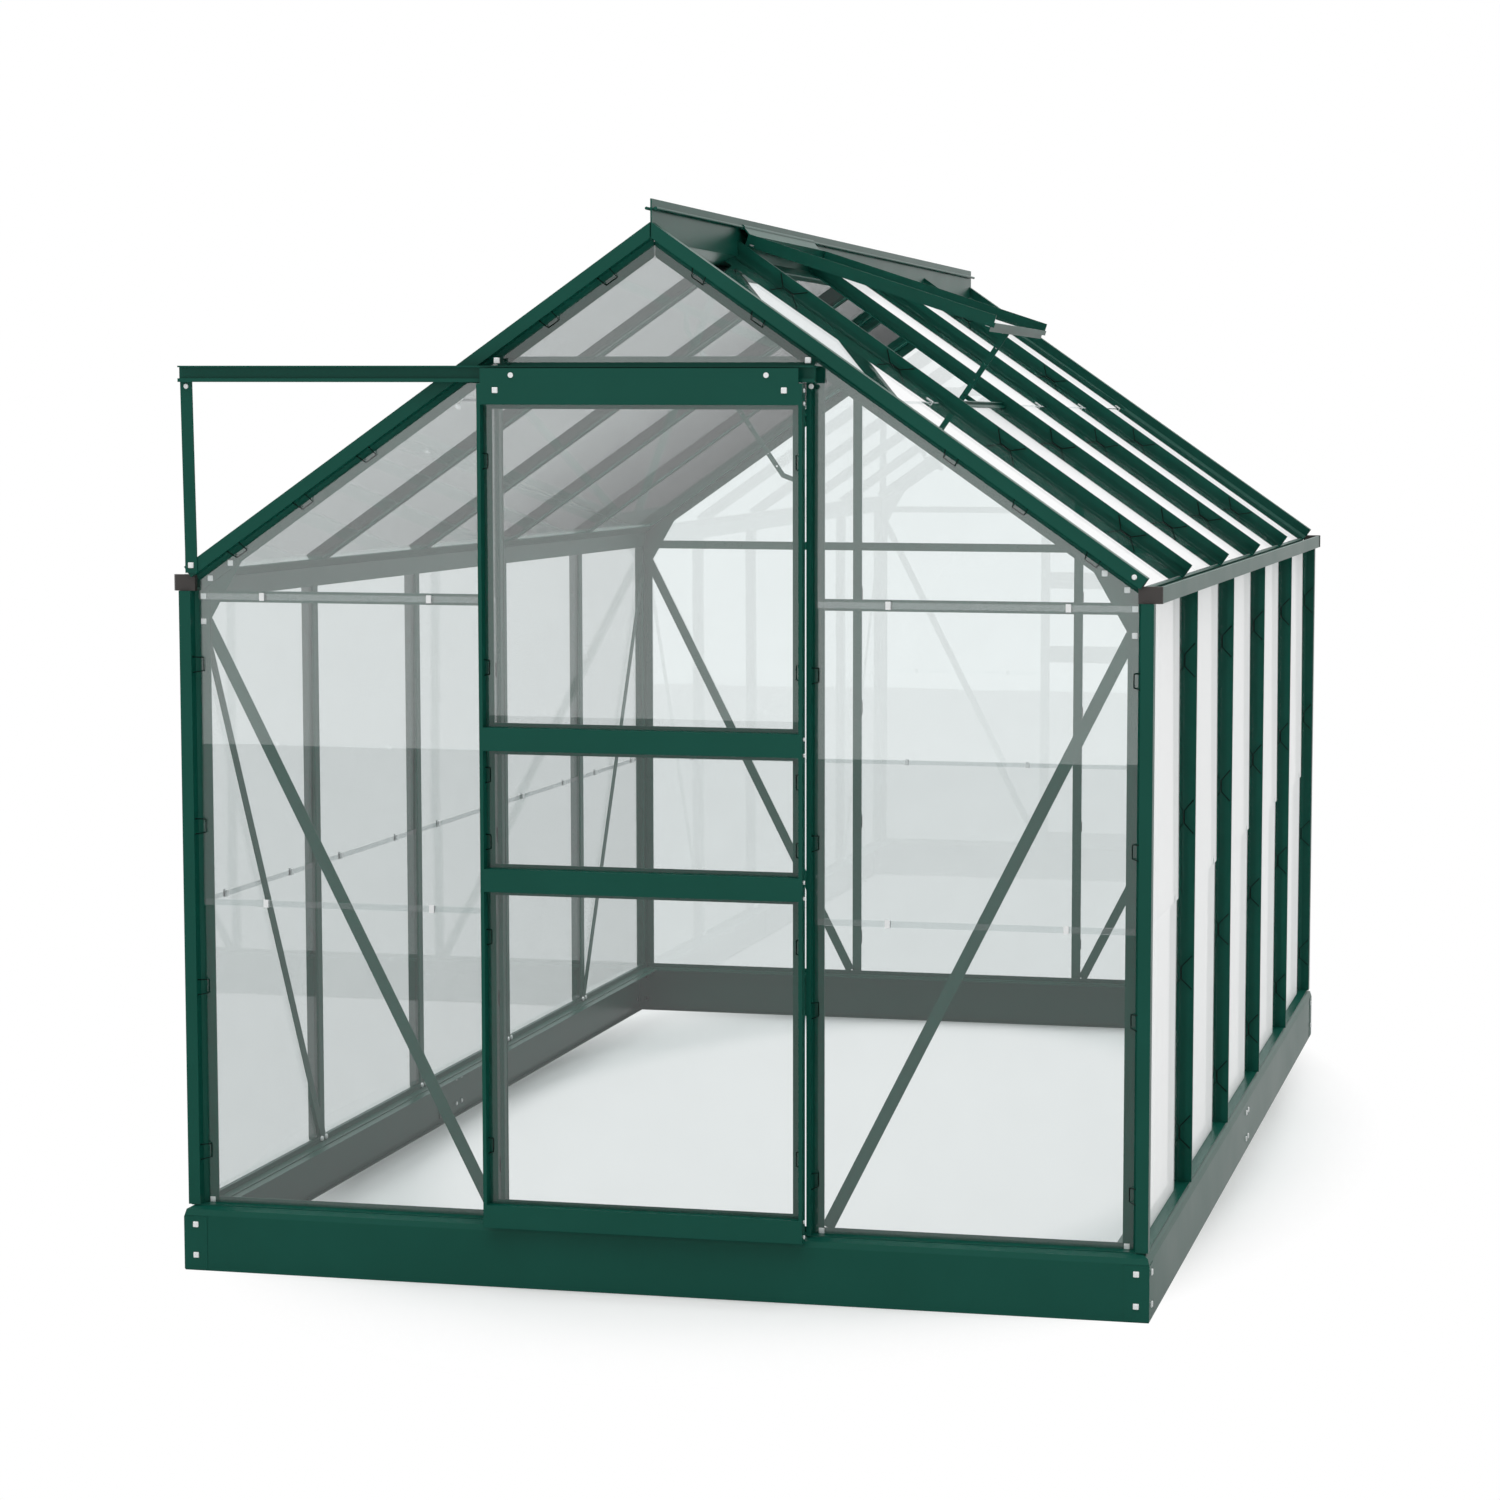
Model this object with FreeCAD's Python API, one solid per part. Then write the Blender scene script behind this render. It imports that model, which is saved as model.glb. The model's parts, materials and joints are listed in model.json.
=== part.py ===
"""Aluminium gable greenhouse on a folded base, with a sliding door and two roof vents.

Millimetres. The origin is on the ground under the middle of the base, +Z is up, +X is to the right
as seen from the door, and the door is in the -Y gable.
"""

import FreeCAD, Part

import math
import os

from FreeCAD import Vector

# Grid of glazing bars
bay_pitch = 620.0
bays_long = 5
bays_wide = 3

# Overall heights
base_height = 127.0
eave_height = 1336.0
apex_height = 2036.0
rafter_foot_rise = 38.34
rafter_setback = 12.0
lap_height = 727.0
tie_drop = 11.0

# Glazing bar section
flange_width = 25.0
flange_depth = 2.5
bar_web = 2.0
bar_head_width = 6.0
bar_head_depth = 16.0
bar_proud = 28.0

# Corner section, shared by the corner posts and the gable rakes
corner_flange = 24.0
corner_neck = 3.0
corner_box_inset = 4.0
corner_wall = 4.0

# Glass
glass_thickness = 3.0
glass_edge_gap = 4.0
glass_lap = 12.0
lap_gap = 0.2
glass_foot_gap = 1.0

# Where the glass planes lie inside the grid lines
wall_inset = 6.0
gable_inset = 20.0

# Folded base
base_side_overhang = 4.0
base_end_overhang = 12.0
base_sheet = 2.0
base_crease_drop = 17.0
base_shoulder_drop = 6.0
base_shoulder_inset = 3.0
base_top_inset = 15.0
base_shelf = 75.0
base_return = 12.0
base_seam_forward = 47.0
corner_plate_leg = 47.0
corner_plate_sheet = 1.0
corner_plate_margin = 2.0
splice_length = 170.0
splice_reach = 83.0
splice_margin = 12.0

# Sill
sill_sheet = 2.0
sill_upstand = 11.0
sill_foot_inside = 23.0
sill_foot_outside = 24.0

# Eave gutter
gutter_sheet = 2.0
gutter_outside = 12.5
gutter_depth = 30.0
gutter_lip = 7.0
eave_drop = 18.0
eave_leg = 34.0
gutter_end_inset = 20.0
end_cap_thickness = 12.0
end_cap_overlap = 1.5
end_cap_chamfer = 5.0
eave_notch_gap = 3.0

# Ridge
ridge_sheet = 3.0
ridge_top = 43.0
ridge_leg = 30.0
ridge_end_inset = 4.0
bead_radius = 3.0
bead_out = 9.0
bead_rise = 25.0
bead_arm = 2.0

# Inside strips and plates
strip_sheet = 2.0
brace_width = 24.0
tie_width = 22.0
gusset_run = 104.0
gusset_shoulder = 7.7
gusset_knee_drop = 63.0
gusset_foot_drop = 84.0
gusset_nose = 18.0
brace_head_drop = 59.0
brace_inset = 14.0
brace_foot_offset = 6.0
transom_rise = 7.0
transom_width = 22.0

# Sliding door
jamb_centre = 304.2
jamb_flange = 23.0
jamb_head_reach = 5.5
door_width = 630.0
door_right_edge = 300.0
door_bottom = 122.0
door_top_drop = 5.0
door_depth = 24.0
door_clearance = 2.0
stile_web = 7.0
stile_flange = 16.0
rail_box_depth = 18.0
rail_height = 44.0
rail_lip = 8.0
groove_depth = 10.0
lower_mid_rail_height = 794.5
upper_mid_rail_height = 1064.5
top_rail_height = 68.0
door_panel_sheet = 2.0
pane_groove_gap = 1.0

# Door track and rollers
track_apex_drop = 267.0
track_depth = 31.0
track_end_inset = 16.0
track_overrun = 15.8
track_sheet = 3.0
track_front_gap = 12.0
track_channel = 9.0
track_lip = 4.0
track_lip_sheet = 2.0
roller_radius = 9.7
roller_width = 6.0
roller_spacing = 494.0
roller_side_gap = 0.5
roller_gap = 0.3
roller_fit = 0.05
stile_headroom = 2.0
axle_radius = 3.0
axle_head_radius = 5.0
axle_head_height = 2.0
strut_width = 24.0
strut_sheet = 3.0
strut_foot_drop = 20.0
strut_head_margin = 5.0
strut_foot_flat = 45.0

# Roof vents, with depths measured out from the plane of the roof bar tips when closed
vent_side_gap = 8.0
vent_end = 554.0
vent_top_out = 17.0
vent_bottom_in = 8.0
vent_side_web = 4.0
vent_side_flange = 14.0
vent_sheet = 2.0
vent_lower_web = 3.0
vent_lower_lip = 10.0
vent_rail_start = 17.0
vent_top_rail = 18.0
vent_lower_flange = 32.0
vent_open_angle = 16.8
vent_rest_gap = 0.3
socket_wall = 2.2
socket_fit = 0.06
socket_mouth = 100.0
socket_mouth_turn = 14.0
socket_arm = 3.0
right_vent_bay = 2
left_vent_bay = 4

# Vent sills
vent_sill_start = 544.0
vent_sill_web = 3.0
vent_sill_rise = 10.0
vent_sill_cover = 10.0
vent_sill_sheet = 2.0
roof_lap = 547.0

# Stay of each vent, and the peg on the sill that holds it
stay_length = 270.0
stay_width = 12.0
stay_sheet = 3.0
stay_pivot_along = 528.0
stay_pivot_in = 15.0
stay_pin_radius = 2.5
stay_pin_fit = 0.05
stay_ear_sheet = 2.0
stay_ear_gap = 0.5
stay_ear_tip = 5.0
stay_hole_radius = 2.6
stay_holes = 5
stay_hole_pitch = 40.0
stay_grip = 40.0
stay_grip_angle = 35.0
peg_radius = 2.5
peg_in = 21.0
peg_gap = 0.7
peg_length = 9.0
peg_margin = 6.0
peg_hole = 3

# Derived grid
grid_x = bays_wide * bay_pitch / 2
grid_y = bays_long * bay_pitch / 2
wall_seat = grid_x - wall_inset
gable_seat = grid_y - gable_inset
wall_tip = wall_seat + bar_proud
gable_tip = gable_seat + bar_proud
wall_inner = wall_seat - flange_depth
gable_inner = gable_seat - flange_depth
base_x = wall_tip + base_side_overhang
base_y = gable_tip + base_end_overhang
base_crease_height = base_height - base_crease_drop
base_shoulder_height = base_height - base_shoulder_drop
sill_top = base_height + sill_sheet
glass_foot = sill_top + glass_foot_gap
seat_depth = -bar_proud
inner_depth = seat_depth - flange_depth
slope = math.atan2(apex_height - eave_height - rafter_foot_rise, wall_tip)
bar_lines_y = [-grid_y + bay_pitch * k for k in range(1, bays_long)]
gable_line = bay_pitch / 2
pane_margin = bar_web / 2 + glass_edge_gap
rafter_end = (wall_tip - rafter_setback) / math.cos(slope)
tie_height = eave_height - tie_drop
brace_head = eave_height - brace_head_drop
track_top = apex_height - track_apex_drop
mid_rail_heights = (lower_mid_rail_height, upper_mid_rail_height)
door_top = track_top - door_top_drop
track_ledge = track_top - track_depth
transom_height = track_top + transom_rise

X = Vector(1, 0, 0)
Y = Vector(0, 1, 0)
Z = Vector(0, 0, 1)


def face_of(points):
    """Flat face inside a closed run of straight edges."""
    return Part.Face(Part.makePolygon(list(points) + [points[0]]))


def run(profile, origin, across, outward, along, hole=None):
    """Sweeps a section of (across, outward) pairs along a straight line."""
    def place(pairs):
        return [origin + across * a + outward * b for a, b in pairs]

    face = face_of(place(profile))
    if hole:
        face = face.cut(face_of(place(hole)))
    return face.extrude(along)


def block(low, high):
    """Box between two corners."""
    return Part.makeBox(*[b - a for a, b in zip(low, high)], Vector(*low))


def side_mirror(shape):
    """The same shape on the other side of the greenhouse's long middle plane."""
    return shape.mirror(Vector(), X)


def end_mirror(shape):
    """The same shape at the other gable."""
    return shape.mirror(Vector(), Y)


def half_turned(shape):
    """The same shape turned half round about the vertical."""
    return shape.rotated(Vector(), Z, 180)


def roof_point(along, out, y=0.0):
    """Point of the right slope: along it from the apex, and out from the plane of the bar tips."""
    return Vector(
        along * math.cos(slope) + out * math.sin(slope),
        y,
        apex_height - along * math.sin(slope) + out * math.cos(slope),
    )


down_slope = (roof_point(1, 0) - roof_point(0, 0))
off_slope = (roof_point(0, 1) - roof_point(0, 0))


def slope_at_x(x, out):
    """Distance along the slope where a line at a given depth reaches x."""
    return (x - out * math.sin(slope)) / math.cos(slope)


def roof_height(x):
    """Height of the inside of the roof bars over a point of the right half."""
    return apex_height + inner_depth / math.cos(slope) - x * math.tan(slope)


def under_roof(out):
    """Everything below the two roof planes at a given depth, for cutting gable pieces."""
    apex = apex_height + out / math.cos(slope)
    reach = 2 * base_x
    drop = reach * math.tan(slope)
    points = [
        Vector(0, -2 * base_y, apex),
        Vector(reach, -2 * base_y, apex - drop),
        Vector(reach, -2 * base_y, apex - 2 * drop),
        Vector(-reach, -2 * base_y, apex - 2 * drop),
        Vector(-reach, -2 * base_y, apex - drop),
    ]
    return face_of(points).extrude(Y * 4 * base_y)


def bar_section():
    """Glazing bar: a flange that the glass lies on, and a headed web between the panes."""
    half = flange_width / 2
    web = bar_web / 2
    head = bar_head_width / 2
    right = [
        (half, -flange_depth), (half, 0), (web, 0), (web, bar_proud - bar_head_depth),
        (head, bar_proud - bar_head_depth), (head, bar_proud),
    ]
    return right + [(-a, b) for a, b in reversed(right)]


def jamb_section():
    """Door jamb: the bar's headed web, its head reaching to the door, beside a seat for the gable glass."""
    web = bar_web / 2
    head = bar_head_width / 2
    return [
        (-head, -flange_depth), (jamb_flange, -flange_depth), (jamb_flange, 0), (web, 0),
        (web, bar_proud - bar_head_depth), (head, bar_proud - bar_head_depth), (head, bar_proud),
        (-jamb_head_reach, bar_proud), (-jamb_head_reach, bar_proud - bar_head_depth),
        (-web, bar_proud - bar_head_depth), (-web, 0), (-head, 0),
    ]


def corner_section():
    """Corner post and rake: seats for two planes of glass joined by a neck to a hollow box."""
    box = corner_box_inset
    neck = box + corner_neck
    return [
        (-corner_flange, -flange_depth), (-flange_depth, -flange_depth), (-flange_depth, -corner_flange),
        (0, -corner_flange), (0, -corner_neck), (neck, box), (bar_proud, box), (bar_proud, bar_proud),
        (box, bar_proud), (box, neck), (-corner_neck, 0), (-corner_flange, 0),
    ]


def corner_hollow():
    """Bore of the corner section's box."""
    low = corner_box_inset + corner_wall
    high = bar_proud - corner_wall / 2
    return [(low, low), (high, low), (high, high), (low, high)]


def mitred(shape, end_piece, corner_x, corner_y):
    """Cuts a run of the base or the sill to 45 degrees through its corners."""
    reach = 2 * base_shelf
    x = corner_x + reach
    y = corner_y + reach
    depth = 3 * reach
    if end_piece:
        points = [(-x, -y), (x, -y), (x - depth, depth - y), (depth - x, depth - y)]
    else:
        points = [(x, -y), (x, y), (x - depth, y - depth), (x - depth, depth - y)]
    wedge = face_of([Vector(a, b, -reach) for a, b in points]).extrude(Z * eave_height)
    return shape.common(wedge)


def base_section():
    """Folded sheet: a face with a crease, a leaning shoulder and a shelf under the sill."""
    t = base_sheet
    return [
        (0, 0), (0, base_crease_height), (-base_shoulder_inset, base_shoulder_height),
        (-base_top_inset, base_height), (-base_shelf, base_height), (-base_shelf, base_height - t),
        (-base_top_inset, base_height - t), (-base_shoulder_inset - t, base_shoulder_height - t / 2),
        (-t, base_crease_height), (-t, t), (-base_return, t), (-base_return, 0),
    ]


def base_end():
    long_run = run(base_section(), Vector(-base_x, -base_y, 0), -Y, Z, X * 2 * base_x)
    return mitred(long_run, True, base_x, base_y)


def base_side():
    """Both halves of the right side, front half first."""
    long_run = run(base_section(), Vector(base_x, -base_y, 0), X, Z, Y * 2 * base_y)
    whole = mitred(long_run, False, base_x, base_y)
    reach = 2 * base_y
    front = block((0, -reach, -reach), (reach, -base_seam_forward, reach))
    return [whole.common(front), whole.cut(front)]


def base_corner_plate():
    """Angle over the right front corner of the base."""
    t = corner_plate_sheet
    leg = corner_plate_leg
    section = [(0, 0), (0, -t), (-leg, -t), (-leg, 0)]
    top = base_crease_height - corner_plate_margin
    front = [Vector(base_x + a, -base_y + b, corner_plate_margin) for a, b in section]
    turned = [(0, -t), (t, -t), (t, leg), (0, leg)]
    side = [Vector(base_x + a, -base_y + b, corner_plate_margin) for a, b in turned]
    rise = Z * (top - corner_plate_margin)
    return face_of(front).extrude(rise).fuse(face_of(side).extrude(rise)).removeSplitter()


def splice_plate():
    """Plate behind the seam of the right side."""
    outer = base_x - base_sheet
    end = splice_reach + 2 * splice_margin - base_seam_forward
    return block(
        (outer - base_sheet, end - splice_length, splice_margin),
        (outer, end, base_crease_height - splice_margin),
    )


def sill_section(seat):
    """Foot on the base, with a low upstand behind the bars; outward from the centre."""
    inner = seat - flange_depth
    foot = inner - sill_foot_inside
    edge = seat + sill_foot_outside
    upstand_top = sill_top + sill_upstand
    return [
        (foot, base_height), (edge, base_height), (edge, sill_top), (inner, sill_top), (inner, upstand_top),
        (inner - sill_sheet, upstand_top), (inner - sill_sheet, sill_top), (foot, sill_top),
    ]


def sill_end():
    long_run = run(sill_section(gable_seat), Vector(-base_x, 0, 0), -Y, Z, X * 2 * base_x)
    return mitred(long_run, True, wall_seat, gable_seat)


def sill_side():
    long_run = run(sill_section(wall_seat), Vector(0, -base_y, 0), X, Z, Y * 2 * base_y)
    return mitred(long_run, False, wall_seat, gable_seat)


def corner_post():
    """Right front post, from the sill to the underside of the gutter."""
    start = Vector(wall_seat, -gable_seat, sill_top)
    return run(corner_section(), start, X, -Y, Z * (eave_height - sill_top), corner_hollow())


def wall_bars():
    bars = []
    for y in bar_lines_y:
        bars.append(run(bar_section(), Vector(wall_seat, y, sill_top), Y, X, Z * (eave_height - sill_top)))
    return bars


def rafter(section, y, across, hole=None):
    """Bar of the right slope, cut upright where it meets the ridge."""
    start = roof_point(0, 0, y)
    whole = run(section, start, across, off_slope, down_slope * rafter_end, hole)
    clear = block((ridge_sheet / 2, -2 * base_y, 0), (2 * base_x, 2 * base_y, 2 * apex_height))
    return whole.common(clear)


def roof_bars():
    section = [(a, b + seat_depth) for a, b in bar_section()]
    return [rafter(section, y, Y) for y in bar_lines_y]


def rake():
    """Right front rake, on the corner section."""
    section = [(b, a + seat_depth) for a, b in corner_section()]
    hole = [(b, a + seat_depth) for a, b in corner_hollow()]
    return rafter(section, -gable_seat, -Y, hole)


def back_gable_bars():
    """Uprights of the back gable, cut to the rakes."""
    limit = under_roof(seat_depth - corner_flange)
    bars = []
    for x in (-gable_line, gable_line):
        tall = run(bar_section(), Vector(x, gable_seat, sill_top), X, Y, Z * (apex_height - sill_top))
        bars.append(tall.common(limit))
    return bars


def door_jambs():
    limit = under_roof(seat_depth - corner_flange)
    start = Vector(jamb_centre, -gable_seat, sill_top)
    right = run(jamb_section(), start, X, -Y, Z * (apex_height - sill_top)).common(limit)
    return [right, side_mirror(right)]


def eave_gutter():
    """Right eave: a web behind the bars, a seat under the rafters and a trough over the wall."""
    t = gutter_sheet
    outer = wall_tip + gutter_outside
    web_in = wall_inner - t
    top_z = roof_point(slope_at_x(wall_inner, inner_depth), inner_depth).z
    leg_end = slope_at_x(wall_inner, inner_depth) - eave_leg
    upper = roof_point(leg_end, inner_depth)
    lower = roof_point(leg_end, inner_depth - t)
    inside_z = roof_point(slope_at_x(web_in, inner_depth - t), inner_depth - t).z
    lip_z = eave_height + gutter_depth
    section = [
        (web_in, eave_height - eave_drop), (wall_inner, eave_height - eave_drop), (wall_inner, eave_height),
        (outer, eave_height), (outer, lip_z), (outer - gutter_lip, lip_z), (outer - gutter_lip, lip_z - t),
        (outer - t, lip_z - t), (outer - t, eave_height + t), (wall_inner, eave_height + t),
        (wall_inner, top_z), (upper.x, upper.z), (lower.x, lower.z), (web_in, inside_z),
    ]
    half = gable_tip - gutter_end_inset
    whole = run(section, Vector(0, -half, 0), X, Z, Y * 2 * half)
    keep = gable_inner - eave_notch_gap
    for low, high in ((-2 * half, -keep), (keep, 2 * half)):
        whole = whole.cut(block((0, low, 0), (wall_inner, high, 2 * apex_height)))
    return whole


def gutter_end_cap():
    """Plug over the right front end of the trough, tucked under the rake."""
    start = gable_tip - gutter_end_inset
    outer = wall_tip + gutter_outside + end_cap_overlap
    top = eave_height + gutter_depth + end_cap_overlap
    front = -start - end_cap_thickness
    c = end_cap_chamfer
    points = [
        (wall_inner, -start), (wall_inner, front), (outer - c, front), (outer, front + c), (outer, -start),
    ]
    plug = face_of([Vector(a, b, eave_height) for a, b in points]).extrude(Z * (top - eave_height))
    return plug.cut(rake())


def bead_centre():
    return Vector(bead_out, 0, apex_height + bead_rise)


def ridge_bar():
    """Upright plate with legs under the rafters and a bead on each side for the vents to hang on."""
    half = ridge_sheet / 2
    t = ridge_sheet
    leg_end = slope_at_x(half, inner_depth) + ridge_leg
    right = [
        roof_point(slope_at_x(0, inner_depth - t), inner_depth - t),
        roof_point(leg_end, inner_depth - t),
        roof_point(leg_end, inner_depth),
        roof_point(slope_at_x(half, inner_depth), inner_depth),
    ]
    arm = bead_centre()
    corners = [(p.x, p.z) for p in right]
    corners += [
        (half, arm.z - bead_arm / 2), (arm.x, arm.z - bead_arm / 2), (arm.x, arm.z + bead_arm / 2),
        (half, arm.z + bead_arm / 2), (half, apex_height + ridge_top),
    ]
    outline = corners + [(-x, z) for x, z in reversed(corners[1:])]
    length = 2 * (gable_tip - ridge_end_inset)
    start = Vector(0, -length / 2, 0)
    body = run(outline, start, X, Z, Y * length)
    for side in (-1, 1):
        foot = Vector(side * arm.x, -length / 2, arm.z)
        body = body.fuse(Part.makeCylinder(bead_radius, length, foot, Y))
    keep = gable_inner - eave_notch_gap
    notch_top = apex_height + seat_depth / math.cos(slope)
    for low, high in ((-length, -keep), (keep, length)):
        body = body.cut(block((-base_x, low, 0), (base_x, high, notch_top)))
    return body.removeSplitter()


def gable_plane(points, y):
    """Strip or plate on the inside of the front gable, from (x, z) points."""
    return face_of([Vector(x, y, z) for x, z in points]).extrude(Y * strip_sheet)


def wall_plane(points):
    """Strip on the inside of the right wall, from (y, z) points."""
    x = wall_inner - strip_sheet
    return face_of([Vector(x, y, z) for y, z in points]).extrude(X * strip_sheet)


def gusset():
    """Plate that ties the right front post to its rake, chamfered towards the inside."""
    far = wall_inner - gusset_run
    nose = wall_inner - gusset_nose
    foot = eave_height - gusset_foot_drop
    points = [
        (wall_inner, foot), (wall_inner, roof_height(wall_inner)), (far, roof_height(far)),
        (far, roof_height(far) - gusset_shoulder), (nose, eave_height - gusset_knee_drop), (nose, foot),
    ]
    return gable_plane(points, -gable_inner)


def strip_points(start, end, width):
    """Corners of a flat strip between two points of a wall."""
    run_a = end[0] - start[0]
    run_b = end[1] - start[1]
    length = math.hypot(run_a, run_b)
    off_a = -run_b / length * width / 2
    off_b = run_a / length * width / 2
    return [
        (start[0] + off_a, start[1] + off_b), (end[0] + off_a, end[1] + off_b),
        (end[0] - off_a, end[1] - off_b), (start[0] - off_a, start[1] - off_b),
    ]


def front_tie():
    """Eave-level bar of the front gable, from the right gusset to the right jamb."""
    low = tie_height - tie_width / 2
    high = tie_height + tie_width / 2
    inside = jamb_centre - bar_head_width / 2
    points = [(inside, low), (wall_inner, low), (wall_inner, high), (inside, high)]
    return gable_plane(points, -gable_inner).cut(gusset())


def back_tie():
    low = tie_height - tie_width / 2
    high = tie_height + tie_width / 2
    edge = wall_inner
    whole = gable_plane([(-edge, low), (edge, low), (edge, high), (-edge, high)], -gable_inner)
    return end_mirror(whole.cut(gusset()).cut(side_mirror(gusset())))


def door_transom():
    low = transom_height - transom_width / 2
    high = transom_height + transom_width / 2
    edge = jamb_centre + jamb_flange
    strip = gable_plane([(-edge, low), (edge, low), (edge, high), (-edge, high)], -gable_inner)
    return strip.common(under_roof(inner_depth))


def gable_brace(upright_edge):
    """Strip from the right front gusset to the foot of an upright."""
    foot = (upright_edge + brace_foot_offset, sill_top + sill_upstand)
    start = (wall_inner - brace_inset, brace_head)
    strip = gable_plane(strip_points(start, foot, brace_width), -gable_inner)
    for other in (gusset(), front_tie(), sill_end()):
        strip = strip.cut(other)
    return strip


def wall_brace():
    """Strip of the right wall from the front post to the foot of the first bar."""
    start = (-gable_inner + brace_inset, brace_head)
    end = (bar_lines_y[0], sill_top + sill_upstand)
    strip = wall_plane(strip_points(start, end, brace_width))
    return strip.cut(sill_side()).cut(gusset())


def lapped_pane(origin, across, outward, upward, width, low, high, lapped):
    """Pane on its seat; a lapped one leans out at its foot to lie over the pane below."""
    lean = glass_thickness + lap_gap if lapped else 0.0
    bottom = origin + upward * low
    top = origin + upward * high
    foot = [bottom + outward * lean, bottom + outward * (lean + glass_thickness)]
    head = [top + outward * glass_thickness, top]
    return face_of(foot + head).extrude(across * width)


def bay_edges(k):
    """Low and high edges along Y of the panes in bay k, counted from the door end."""
    low = -grid_y + bay_pitch * (k - 1) + pane_margin
    high = -grid_y + bay_pitch * k - pane_margin
    end = gable_seat - glass_edge_gap
    return max(low, -end), min(high, end)


def wall_glass():
    panes = []
    for k in range(1, bays_long + 1):
        low, high = bay_edges(k)
        start = Vector(wall_seat, low, 0)
        panes.append(lapped_pane(start, Y, X, Z, high - low, glass_foot, lap_height + glass_lap / 2, False))
        top = eave_height - glass_foot_gap
        panes.append(lapped_pane(start, Y, X, Z, high - low, lap_height - glass_lap / 2, top, True))
    return panes


def roof_glass(vent_bay):
    panes = []
    under_sill = vent_sill_start + vent_sill_web + glass_foot_gap
    top = slope_at_x(ridge_sheet / 2 + glass_edge_gap, seat_depth)
    for k in range(1, bays_long + 1):
        low, high = bay_edges(k)
        start = roof_point(0, seat_depth, low)
        up = down_slope * -1
        width = high - low
        foot = rafter_end - glass_edge_gap
        head = under_sill if k == vent_bay else roof_lap - glass_lap
        panes.append(lapped_pane(start, Y, off_slope, up, width, -foot, -head, False))
        if k != vent_bay:
            panes.append(lapped_pane(start, Y, off_slope, up, width, -roof_lap, -top, True))
    return panes


def gable_glass(x_low, x_high, levels, y, outward):
    """Panes of one gable bay, one above the other, the top one cut to the rakes."""
    limit = under_roof(seat_depth - corner_neck - glass_edge_gap)
    panes = []
    for index in range(len(levels) - 1):
        low = levels[index] - (glass_lap / 2 if index else 0)
        last = index == len(levels) - 2
        high = levels[index + 1] + (0 if last else glass_lap / 2)
        pane = lapped_pane(Vector(x_low, y, 0), X, outward, Z, x_high - x_low, low, high, index > 0)
        panes.append(pane.common(limit))
    return panes


def front_glass():
    """Three panes each side of the door and one over it."""
    levels = [glass_foot, lap_height, tie_height, apex_height]
    low = jamb_centre + pane_margin
    high = wall_inner - glass_foot_gap
    panes = gable_glass(low, high, levels, -gable_seat, -Y)
    panes += [side_mirror(p) for p in panes]
    over = jamb_centre - bar_head_width / 2 - glass_edge_gap
    return panes + gable_glass(-over, over, [transom_height, apex_height], -gable_seat, -Y)


def back_glass():
    levels = [glass_foot, lap_height, tie_height, apex_height]
    high = wall_inner - glass_foot_gap
    panes = gable_glass(gable_line + pane_margin, high, levels, gable_seat, Y)
    panes += [side_mirror(p) for p in panes]
    half = gable_line - pane_margin
    return panes + gable_glass(-half, half, levels, gable_seat, Y)


# The door hangs in front of the base, so its depth is measured out from there
door_back = -base_y - corner_plate_sheet - door_clearance
door_front = door_back - door_depth
door_left_edge = door_right_edge - door_width
pane_back = door_back - door_panel_sheet
pane_front = pane_back - glass_thickness


def door_stile():
    """Right stile: a deep web with a flange behind the glass."""
    x = door_right_edge
    web = x - stile_web
    inside = web - stile_flange
    flange_front = door_back - door_panel_sheet
    points = [
        (x, door_front), (x, door_back), (inside, door_back), (inside, flange_front), (web, flange_front),
        (web, door_front),
    ]
    rise = Z * (rail_seat_top() - door_bottom)
    return face_of([Vector(a, b, door_bottom) for a, b in points]).extrude(rise)


def rail_seat_top():
    """Top of the stiles, just under the track."""
    return track_ledge - stile_headroom


def door_centre():
    return (door_left_edge + door_right_edge) / 2


def left_stile():
    return door_stile().mirror(Vector(door_centre(), 0, 0), X)


def door_rail_section(low, high, groove_below, groove_above):
    """Rail in (depth, height): a front box, a lip behind the glass and grooves that take its edges."""
    box_back = door_front + rail_box_depth
    lip_front = door_back - door_panel_sheet
    below = low - rail_lip if groove_below else low
    above = high + rail_lip if groove_above else high
    neck_low = low + groove_depth if groove_below else low
    neck_high = high - groove_depth if groove_above else high
    points = [(door_front, low), (door_front, high), (box_back, high)]
    if groove_above:
        points += [(box_back, neck_high), (lip_front, neck_high), (lip_front, above)]
    points += [(door_back, above), (door_back, below)]
    if groove_below:
        points += [(lip_front, below), (lip_front, neck_low), (box_back, neck_low), (box_back, low)]
    return points


def door_rail(low, high, groove_below, groove_above):
    points = door_rail_section(low, high, groove_below, groove_above)
    start = door_left_edge + stile_web
    length = door_width - 2 * stile_web
    rail = face_of([Vector(start, d, z) for d, z in points]).extrude(X * length)
    return rail.cut(door_stile()).cut(left_stile())


def door_mid_rails():
    return [door_rail(z - rail_height / 2, z + rail_height / 2, True, True) for z in mid_rail_heights]


def door_bottom_rail():
    return door_rail(door_bottom, door_bottom + rail_height, False, True)


def door_top_rail():
    """Tall front panel that hides the rollers, with a grooved foot for the glass."""
    low = door_top - top_rail_height
    foot = door_rail(low, rail_seat_top(), True, False)
    panel = block(
        (door_left_edge + stile_web, door_front, low),
        (door_right_edge - stile_web, door_front + door_panel_sheet, door_top),
    )
    rail = foot.fuse(panel).removeSplitter()
    for axle in roller_axles():
        rail = rail.cut(axle)
    return rail


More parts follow.
